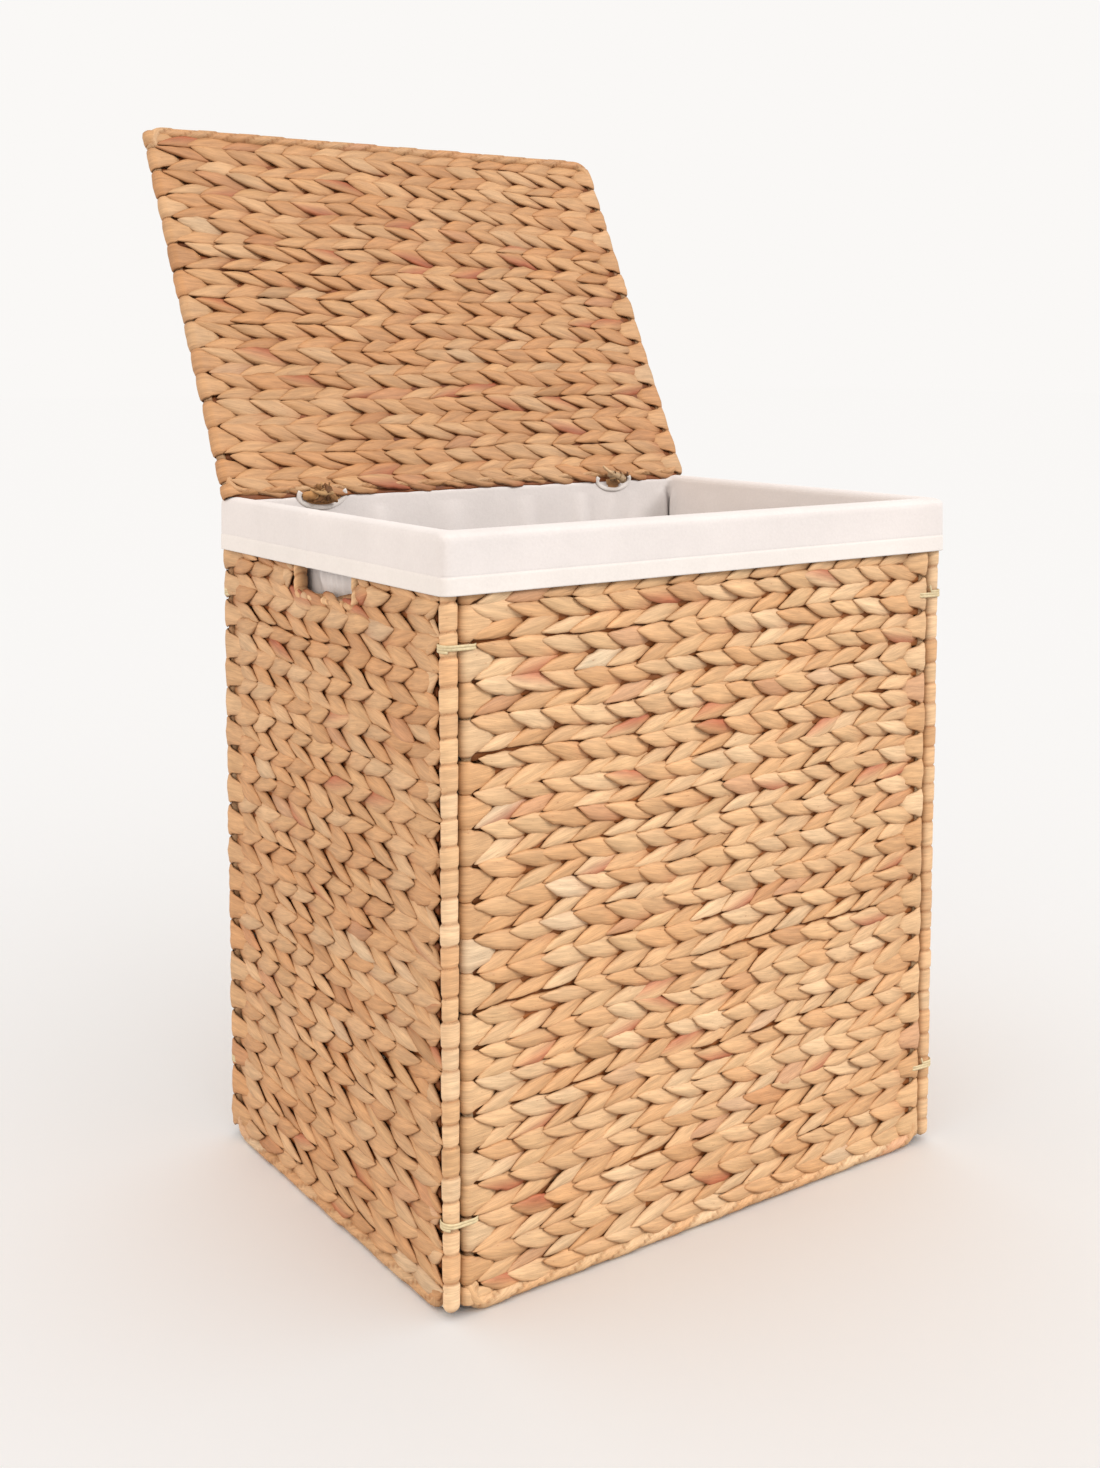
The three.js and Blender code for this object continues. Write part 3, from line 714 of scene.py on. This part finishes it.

for side, x in (("left", -MIDDLE_X), ("right", MIDDLE_X)):
    rng = np.random.default_rng(70 + len(side) * 3)
    upright = [(x, -SIDE_ROD + 0.2 * MM, z) for z in (0.004, 0.592)]
    grid, tint, uv = wound_rod(upright, (1, 0, 0), (7.0 * MM, 6.6 * MM), rng, 20 * MM, 0.12)
    one_tube((grid, tint * np.array(PALER), uv), f"{side}_front_wound_edge", wrapping,
             node=f"{side}_front_edge_wrap", slot="edge_wrapping")
    rng = np.random.default_rng(90 + len(side))
    corner = 7 * MM
    half, low, high = HOLE[0] + 4.5 * MM, HOLE[1] - 4.5 * MM, HOLE[2] + 4.5 * MM
    outline = []
    for cy, cz, first in ((half - corner, high - corner, 0), (-half + corner, high - corner, 90),
                          (-half + corner, low + corner, 180), (half - corner, low + corner, 270)):
        for a in np.radians(np.linspace(first, first + 90, 5)):
            outline.append((x, cy + corner * math.cos(a), cz + corner * math.sin(a)))
    outline = outline[2:] + outline[:3]
    one_tube(wound_rod(outline, (1, 0, 0), (6.6 * MM, 4.0 * MM), rng, 13 * MM, 0.5, closed_ends=False),
             f"{side}_wound_hand_hole", wrapping, node=f"{side}_handle_wrap", slot="edge_wrapping")


# ---- ties ----


def strip(path, across, radii, rng, colour, step=1.2 * MM, ring=8, twist=0.0):
    """A thin strip or cord along path; twist gives it the look of plies laid together."""
    s, centre, ahead = stepped(path, step, 6)
    across = np.array(across, float)
    side = unit(across - ahead * (ahead @ across)[:, None])
    angle = np.linspace(0, 2 * math.pi, ring, endpoint=False)
    shape, shade = 1.0, rng.uniform(0.9, 1.08, (len(s), 1)) * np.ones(ring)
    if twist:
        ply = np.abs(np.cos(angle - twist * s[:, None]))
        # the grooves between plies are made darker: painted shade between the plies
        shape, shade = 0.86 + 0.22 * ply, shade * (0.72 + 0.28 * ply)
    grid = swept(centre, side, np.cross(ahead, side), np.cos(angle) * radii[0] * shape,
                 np.sin(angle) * radii[1] * shape)
    tint = linear(colour) * 0.68 * shade[..., None]
    uv = paired(s[:, None], angle * max(radii)) + rng.uniform(0, 3, 2)
    return grid[None], tint[None], uv[None]


def smooth(path, samples=9):
    """A rounded curve through the points of path."""
    points = np.array([path[0], *path, path[-1]], float)
    t = np.linspace(0, 1, samples, endpoint=False)[:, None]
    out = []
    for p0, p1, p2, p3 in zip(points[:-3], points[1:-2], points[2:-1], points[3:]):
        bend, twist = 2 * p0 - 5 * p1 + 4 * p2 - p3, 3 * p1 - p0 - 3 * p2 + p3
        out.append(0.5 * (2 * p1 + (p2 - p0) * t + bend * t**2 + twist * t**3))
    return np.concatenate([*out, points[-1:]])


def racetrack(a, b, radius, turns, lift, start=0.0, samples=36):
    """A path that runs round two points a and b of a plane, turns times, rising by lift in all."""
    a, b = np.array(a, float), np.array(b, float)
    gap = np.linalg.norm(b - a)
    along = (b - a) / gap
    normal = np.array([-along[1], along[0]])
    half = gap + math.pi * radius
    out = []
    for i in range(int(samples * turns) + 1):
        d = (start + i / samples) % 1 * 2 * half
        here, there, sign = (a, b, 1) if d < half else (b, a, -1)
        d = d % half
        if d < gap:
            p = here + sign * (along * d + normal * radius)
        else:
            t = (d - gap) / radius
            p = there + sign * radius * (normal * math.cos(t) + along * math.sin(t))
        out.append((*p, lift * i / (samples * turns)))
    return out


# a split-cane tie twice round the rods of two walls at each corner, high and low
for end, y in (("front", -1), ("back", 1)):
    for side, x in (("left", -1), ("right", 1)):
        for level, z in (("upper", 0.516), ("lower", 0.075)):
            rng = np.random.default_rng(200 + (x + 1) * 3 + (y + 1) * 7 + int(z * 100))
            track = racetrack((x * 0.2425, y * 0.1875), (x * 0.2575, y * 0.1878), 8.0 * MM, 2.35,
                              5.0 * MM, 0.25)
            path = [(px, py, z - 2.5 * MM + pz) for px, py, pz in track]
            path.append(tuple(np.array(path[-1]) + np.array([x * -3.0, y * 1.2, 5.5]) * MM))
            one_tube(strip(path, UP, (1.2 * MM, 0.6 * MM), rng, "#E2CDA2"), f"{end}_{side}_cane_{level}",
                     cane, node=f"{end}_{side}_tie_{level}", slot="cane_tie")

# Each lid cord goes round both rods behind the lid's edge and ends in a rough knot in front of it.
# A knot's strand is four points in mm from the knot's middle, its half height and depth, and a colour.
KNOT_Y, KNOT_Z = 0.1755, 0.6035
KNOTS = {
    "left": [((-19, 1, -3), (-8, -3, -2), (3, -3.5, -4), (12, 0, -8), 5.2, 3.0, "#C8935C"),
             ((-5, 0, 7), (0, -6, 3), (7, -7, -3), (15, -3, -9), 3.4, 2.8, "#A9794A"),
             ((9, -1, 5), (4, -8, 1), (-3, -7.5, -4), (-9, -2, -8), 3.0, 2.6, "#8A5E36"),
             ((-12, -1, 3), (-4, -9, 0), (5, -8.5, 0), (12, -2, -3), 2.5, 2.4, "#C49A6A"),
             ((3, -2, 8), (2, -9, 4), (1, -10, -1), (4, -6, -7), 2.2, 2.0, "#7A5230")],
    "right": [((-10, 0, 4), (-4, -5, 3), (3, -6, 0), (11, -2, -4), 4.6, 4.0, "#C3A480"),
              ((-9, -2, -2), (-3, -7, 1), (2, -7, 3), (7, -1, 5), 2.2, 2.0, "#9C7A55"),
              ((-18, -2, 13), (-13, -5, 8), (-7, -6, 5), (-2, -4, 2), 1.8, 1.2, "#DDB88F")],
}
for side, x in (("left", -0.173), ("right", 0.173)):
    rng = np.random.default_rng(300 + len(side))
    pieces = Pieces()
    for offset in (-8, 0, 8):
        track = racetrack((0.1900, 0.5985), (0.1900, 0.6080), 7.6 * MM, 1.05, 0.0, rng.random())
        path = [(x + (offset + 0.8 * rng.standard_normal()) * MM, a, b) for a, b, _ in track[::3]]
        pieces.add(*strip(smooth(path), (1, 0, 0), (3.0 * MM, 1.8 * MM), rng, "#8F6640", twist=420.0))
    for *marks, tall, deep, colour in KNOTS[side]:
        path = [(x + a * MM, KNOT_Y + b * MM, KNOT_Z + c * MM) for a, b, c in marks]
        grid, tint, uv = strip(smooth(path), (0, 0, 1), (tall * MM, deep * MM), rng, colour, twist=160.0,
                               ring=12)
        stations = grid.shape[1]
        ends = np.interp(np.linspace(0, 1, stations), [0, 0.15, 0.5, 0.85, 1], [0.45, 0.85, 1.0, 0.8, 0.4])
        ends = ends * (1 + 0.10 * rng.standard_normal(stations))
        middle = grid.mean(axis=2, keepdims=True)
        pieces.add(middle + (grid - middle) * ends[None, :, None, None], tint, uv)
    for _ in range(16 if side == "left" else 7):  # frayed fibres
        root_x, out_x = rng.uniform(-6, 10), rng.uniform(-5, 5)
        rise = rng.uniform(3, 10) * (1 if rng.random() < 0.7 else -0.7)
        path = [(x + root_x * MM, 0.1710, 0.604),
                (x + (root_x + out_x * 0.4) * MM, 0.1680, 0.604 + rise * 0.6 * MM),
                (x + (root_x + out_x) * MM, 0.1675 + rng.uniform(-1, 2) * MM, 0.604 + rise * MM)]
        shade = ("#6B4526", "#B58B5C", "#8C6238")[int(rng.integers(3))]
        pieces.add(*strip(smooth(path), (1, 0, 0), (rng.uniform(0.5, 1.1) * MM, 0.4 * MM), rng, shade))
    pieces.build(f"{side}_lid_cord", cord_fibre, node=f"lid_tie_{side}", slot="hinge_cord")

# three cords on which the base turns
for side, x in (("left", -0.136), ("middle", 0.015), ("right", 0.136)):
    rng = np.random.default_rng(330 + len(side))
    track = racetrack((0.1725, 0.0085), (0.1870, 0.0085), 6.2 * MM, 1.9, 5.0 * MM, 0.3)
    path = [(x - 2.5 * MM + px, a, max(b, 2.2 * MM)) for a, b, px in track]
    one_tube(strip(path, (1, 0, 0), (1.8 * MM, 1.6 * MM), rng, "#A9793F", twist=1200.0),
             f"{side}_base_cord", cord_fibre, node=f"base_tie_{side}", slot="hinge_cord")


# ---- liner ----

RIM_OUT = (WIDTH / 2 + 1.4 * MM, DEPTH / 2 + 1.4 * MM)
RIM_IN = (WIDTH / 2 - 16.2 * MM, DEPTH / 2 - 16.2 * MM)
CLOTH = 0.8 * MM  # its thickness
JOIN_Z = 0.590  # where the bag's folds begin, under the rim
FOLD_TOP = 0.5895  # where the hanging folds start to stand out
HEM_Z = 0.5692  # the cuff's hem stitching


def round_rectangle(hx, hy, corner, share):
    """Points of a rounded rectangle and their outward directions, for share from 0 to 1 round it,
    from the middle of the front side, to the right. The same share keeps to the same side at any size."""
    share = np.asarray(share) % 1
    quarter = math.pi / 2 * corner
    d = share * (4 * (hx - corner) + 4 * (hy - corner) + 4 * quarter)
    point, normal = np.zeros((len(share), 2)), np.zeros((len(share), 2))
    passed = 0.0
    legs = [("side", 0, 0.0, hx - corner)]
    for which, half in ((1, hy - corner), (2, hx - corner), (3, hy - corner)):
        legs += [("turn", which - 1, 0, quarter), ("side", which, -half, 2 * half)]
    legs += [("turn", 3, 0, quarter), ("side", 0, -(hx - corner), hx - corner)]
    for kind, which, start, run in legs:
        inside = (d >= passed - 1e-12) & (d <= passed + run + 1e-12)
        local = d[inside] - passed
        out = np.array([(0, -1), (1, 0), (0, 1), (-1, 0)][which], float)
        along = np.array([(1, 0), (0, 1), (-1, 0), (0, -1)][which], float)
        reach, far = (hy, hx) if which in (0, 2) else (hx, hy)
        if kind == "side":
            point[inside] = out * reach + along * (start + local)[:, None]
            normal[inside] = out
        else:
            a = local / corner
            middle = out * (reach - corner) + along * (far - corner)
            direction = out * np.cos(a)[:, None] + along * np.sin(a)[:, None]
            point[inside] = middle + direction * corner
            normal[inside] = direction
        passed += run
    return point, normal


def cloth(name, rows, node_name, centre=None):
    """Closed double-faced cloth from rows (levels, round, 3); centre closes the last row with a point."""
    grid = np.array(rows)
    levels, around, _ = grid.shape
    along = np.roll(grid, -1, axis=1) - np.roll(grid, 1, axis=1)
    normal = np.cross(along, np.gradient(grid, axis=0))
    normal /= np.linalg.norm(normal, axis=-1, keepdims=True) + 1e-12
    front = grid.reshape(-1, 3)
    back = (grid - normal * CLOTH).reshape(-1, 3)
    n = len(front)
    i = np.arange(levels - 1)[:, None] * around
    j = np.arange(around)
    k = (j + 1) % around
    face = np.stack([i + j, i + k, i + around + k, i + around + j], axis=-1).reshape(-1, 4)
    faces = [face, face[:, ::-1] + n, np.stack([j, j + n, k + n, k], axis=-1)]
    last = (levels - 1) * around
    if centre is None:
        faces.append(np.stack([last + j, last + k, last + k + n, last + j + n], axis=-1))
        verts = np.concatenate([front, back])
    else:
        verts = np.concatenate([front, back, [centre], [np.array(centre) - (0, 0, CLOTH)]])
        faces.append(np.stack([last + j, last + k, np.full(around, 2 * n)], axis=-1))
        faces.append(np.stack([last + k + n, last + j + n, np.full(around, 2 * n + 1)], axis=-1))
    return mesh_object(name, verts, faces, cotton, node=node_name, slot="liner_cotton")


SHARE = np.arange(720) / 720  # the points of a row, as shares of the way round

# each wall's folds: the place along the wall, how far it stands out in mm, and the half width
FOLDS = {
    "back": [(0.128, 9, 0.008), (0.142, -3, 0.004), (0.166, 4, 0.010), (0.195, 4, 0.008), (0.06, 6, 0.010),
             (0.075, -2, 0.005), (-0.03, 6, 0.014), (-0.11, 9, 0.009), (0.236, 6.5, 0.006),
             (-0.205, 6, 0.016)],
    "left": [(0.04, 9, 0.010), (-0.02, 7, 0.008), (0.10, 5, 0.02), (-0.06, 6, 0.012)],
    "right": [(0.02, 4, 0.03), (-0.09, 5, 0.018), (0.11, 4, 0.016)],
    "front": [(-0.15, 6, 0.02), (0.02, 5, 0.03), (0.12, 7, 0.015)],
}
# slow waves over the cloth: their steepness along x, y and z, and where they start
PHASES = [(31, 17, 9, 0.3), (-23, 41, 14, 1.9), (57, -29, 5, 4.1), (13, 63, -21, 2.2), (-71, 11, 8, 5.2)]


def folds(points, z):
    """How far the hanging cloth stands off the wall, inward, at points (n, 2) and height z."""
    x, y = points.T
    drop = np.clip((FOLD_TOP - z) / 0.10, 0, 1)
    walls = (("back", x, y > 0.12), ("left", y, x < -0.18), ("right", y, x > 0.18), ("front", x, y < -0.12))
    total = np.zeros(len(x))
    for wall, run, here in walls:
        for place, size, width in FOLDS[wall]:
            total += size * MM * (np.exp(-(((run - place) / width) ** 2)) * here)
    soft = sum(np.sin(x * a + y * b + z * c + p) for a, b, c, p in PHASES) / len(PHASES)
    return total * drop ** 0.7 + (1 + soft) * 2.2 * MM * drop


def inner_row(z):
    """The bag's outline at height z: folds, gathers pushed into the hand holes, and a corner pleat."""
    points, normals = round_rectangle(*RIM_IN, 7 * MM - 5 * MM * min(1.0, (JOIN_Z - z) / 0.02), SHARE)
    off = folds(points, z)
    x, y = points.T
    hole_middle = (HOLE[1] + HOLE[2]) / 2
    away = ((y / 0.042) ** 2 + ((z - hole_middle) / 0.021) ** 2) ** 1.6
    behind_hole = (np.abs(x) > 0.2) * np.exp(-away)
    ripple = 1.5 * MM * np.sin(y * 520 + 3 * np.sin(y * 90)) + 0.8 * MM * np.sin(y * 290 + z * 25)
    off = off * (1 - behind_hole) - (4.6 * MM + ripple * behind_hole) * behind_hole
    corner = np.hypot(RIM_IN[0] - x, RIM_IN[1] - y)
    ridge = 4.0 * MM * np.exp(-(((corner - 8 * MM) / (3.6 * MM)) ** 2))
    pleat = ridge - 3.0 * MM * np.exp(-((corner / (2.4 * MM)) ** 2))
    off = off + 0.3 * MM + CLOTH + pleat * np.clip((JOIN_Z - z) / 0.014, 0, 1)
    return np.column_stack([points - normals * off[:, None], np.full(len(points), z)])


def cuff_row(out, z, puff=0.0):
    """The cuff's outline at height z, out beyond the rim's inner face; puff is how far it billows."""
    hx, hy = RIM_IN[0] + out, RIM_IN[1] + out
    points, normals = round_rectangle(hx, hy, 7 * MM + out * 0.05, SHARE)
    x, y = points.T
    soft = sum(np.sin(x * a * 0.8 + y * b * 0.8 + z * 30 + p) for a, b, c, p in PHASES) / len(PHASES)
    seam = 1.3 * MM * np.exp(-(((y - 0.018) / 0.0030) ** 2)) * (x < -0.2) if out > 0.005 else 0
    flat = points + normals * (puff * (0.5 + soft) + seam)[:, None]
    return np.column_stack([flat, np.full(len(flat), z)])


# the bag: its top edge tucked behind the rim's face (mm outward, height), the hanging walls, the floor
bag_top = [(0.35, 0.5985), (0.06, 0.5972), (-0.04, 0.5955), (-0.14, 0.5930), (-0.24, 0.5908)]
bag_levels = np.concatenate([np.linspace(JOIN_Z - 0.5 * MM, 0.50, 24), np.linspace(0.485, 0.05, 24),
                             [0.036, 0.026, 0.020, 0.0175]])
bag_rows = [cuff_row(out * MM - CLOTH, z) for out, z in bag_top] + [inner_row(z) for z in bag_levels]
floor_row = bag_rows[-1]
for shrink in (0.985, 0.96, 0.92, 0.86, 0.78, 0.68, 0.56, 0.43, 0.30, 0.18, 0.08):
    row = floor_row.copy()
    row[:, :2] *= shrink
    x, y = row[:, 0], row[:, 1]
    row[:, 2] = 0.0165 + 0.9 * MM * (np.sin(x * 43 + y * 21) * np.sin(y * 37 - x * 13 + 1) + 1)
    bag_rows.append(row)
bag = cloth("liner_bag_cloth", bag_rows, "liner_bag", centre=(0, 0, 0.0172))
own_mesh(bag)

# the cuff: from inside the rim, over the top edge and down the outside to the hem
rim_half = (RIM_OUT[0] - RIM_IN[0]) / 2
cuff_rows = [cuff_row(0.5 * MM, 0.5888), cuff_row(0.3 * MM, 0.5912), cuff_row(0.1 * MM, 0.5940)]
for a in np.radians(np.linspace(8, 172, 12)):
    out = rim_half * (1 - math.cos(a))
    cuff_rows.append(cuff_row(out, 0.5970 + 5.0 * MM * math.sin(a)))
cuff_levels = np.concatenate([np.linspace(0.5945, 0.5712, 12), [0.5700, HEM_Z, 0.5684],
                              np.linspace(0.5672, 0.5562, 8), [0.5552]])
for z in cuff_levels:
    drop = (0.597 - z) / 0.04
    groove = -0.18 * MM * math.exp(-(((z - HEM_Z) / 0.0006) ** 2))
    hem = 0.3 * MM if z < HEM_Z else 0.0
    cuff_rows.append(cuff_row(2 * rim_half + groove + hem, z, 0.9 * MM * drop))
cuff = cloth("liner_cuff_cloth", cuff_rows, "liner_cuff")
cuff.data.materials.append(cotton_hem)
for face in cuff.data.polygons:
    if face.center.z < HEM_Z - 0.2 * MM:
        face.material_index = 1

# a rolled buttonhole under each lid knot, and the weave that shows through it
for side, x, half, tall, roll in (("left", -0.171, 24 * MM, 11.5 * MM, 2.6 * MM),
                                  ("right", 0.172, 21 * MM, 10.0 * MM, 2.3 * MM)):
    rng = np.random.default_rng(420 + len(side))
    centre_z = 0.6010
    oval = [(x + half * math.cos(a), 0.1776 - 0.5 * MM * math.sin(3 * a), centre_z + tall * math.sin(a))
            for a in np.radians(np.arange(-200, 21, 5))]
    one_tube(strip(oval, (0, 1, 0), (1.5 * MM, roll), rng, "#D6CBC3", ring=12), f"{side}_buttonhole_edge",
             cotton_hem, node="liner_cuff", slot="liner_cotton")
    pieces = Pieces()
    inner = half - 4 * MM if side == "left" else 9 * MM
    # these strands are darker than the mats', the lower one darkest: painted shade inside the buttonhole
    for low, colour in ((0.5942, "#B98656"), (0.5990, "#C99766")):
        span = inner * math.sqrt(max(0.05, 1 - ((low - centre_z) / tall) ** 2))
        path = [(x - span, 0.1784, low), (x - span * 0.3, 0.1772, low + 0.6 * MM),
                (x + span * 0.4, 0.1773, low - 0.5 * MM), (x + span, 0.1784, low + 0.4 * MM)]
        pieces.add(*strip(smooth(path), (0, 0, 1), (3.1 * MM, 1.0 * MM), rng, colour))
    pieces.build(f"{side}_buttonhole_weave", strand, node="back_weave", slot="water_hyacinth")


# ---- stage, light and camera ----

floor_mesh = bpy.data.meshes.new("floor")
floor_mesh.from_pydata([(x * 30, y * 30, 0) for x, y in ((-1, -1), (1, -1), (1, 1), (-1, 1))], [],
                       [(0, 1, 2, 3)])
floor = bpy.data.objects.new("floor", floor_mesh)
bpy.context.scene.collection.objects.link(floor)
pale, _, pale_bsdf = shader("pale_floor", 1.0, 0.0)
pale_bsdf.inputs["Base Color"].default_value = (0.995, 0.995, 0.995, 1)
floor_mesh.materials.append(pale)
floor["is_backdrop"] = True
unlit = bpy.data.collections.new("not_lit_by_the_suns")
unlit.objects.link(floor)
unlit.collection_objects[0].light_linking.link_state = "EXCLUDE"

world = bpy.data.worlds.new("studio")
world.use_nodes = True
world.node_tree.nodes["Background"].inputs["Color"].default_value = (*linear("#FAF8F6"), 1)
world.node_tree.nodes["Background"].inputs["Strength"].default_value = 1.0
bpy.context.scene.world = world
bpy.context.scene.view_settings.view_transform = "Standard"


def soft_sun(name, towards, strength, spread, colour):
    """A distant softbox in the direction towards, spread degrees across."""
    lamp = bpy.data.lights.new(name, "SUN")
    lamp.energy = strength
    lamp.angle = math.radians(spread)
    lamp.color = colour
    obj = bpy.data.objects.new(name, lamp)
    obj.rotation_euler = Vector(towards).to_track_quat("Z", "Y").to_euler()
    obj.light_linking.receiver_collection = unlit
    bpy.context.scene.collection.objects.link(obj)


soft_sun("key", (0.45, -0.70, 0.62), 2.8, 25, (1.0, 0.985, 0.965))
soft_sun("side", (-1.0, -0.15, 0.45), 2.0, 45, (1.0, 0.91, 0.82))

camera_data = bpy.data.cameras.new("camera")
camera_data.sensor_width = 36
camera_data.sensor_fit = "AUTO"
camera_data.lens = 41.289646  # mm
camera_data.shift_y = -0.16008174
camera = bpy.data.objects.new("camera", camera_data)
camera.location = (-0.9010, -1.2360, 0.7279)
camera.rotation_euler = (math.pi / 2 - 0.0828, 0, -0.6116)
bpy.context.scene.collection.objects.link(camera)
bpy.context.scene.camera = camera

bpy.context.view_layer.update()
low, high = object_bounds()
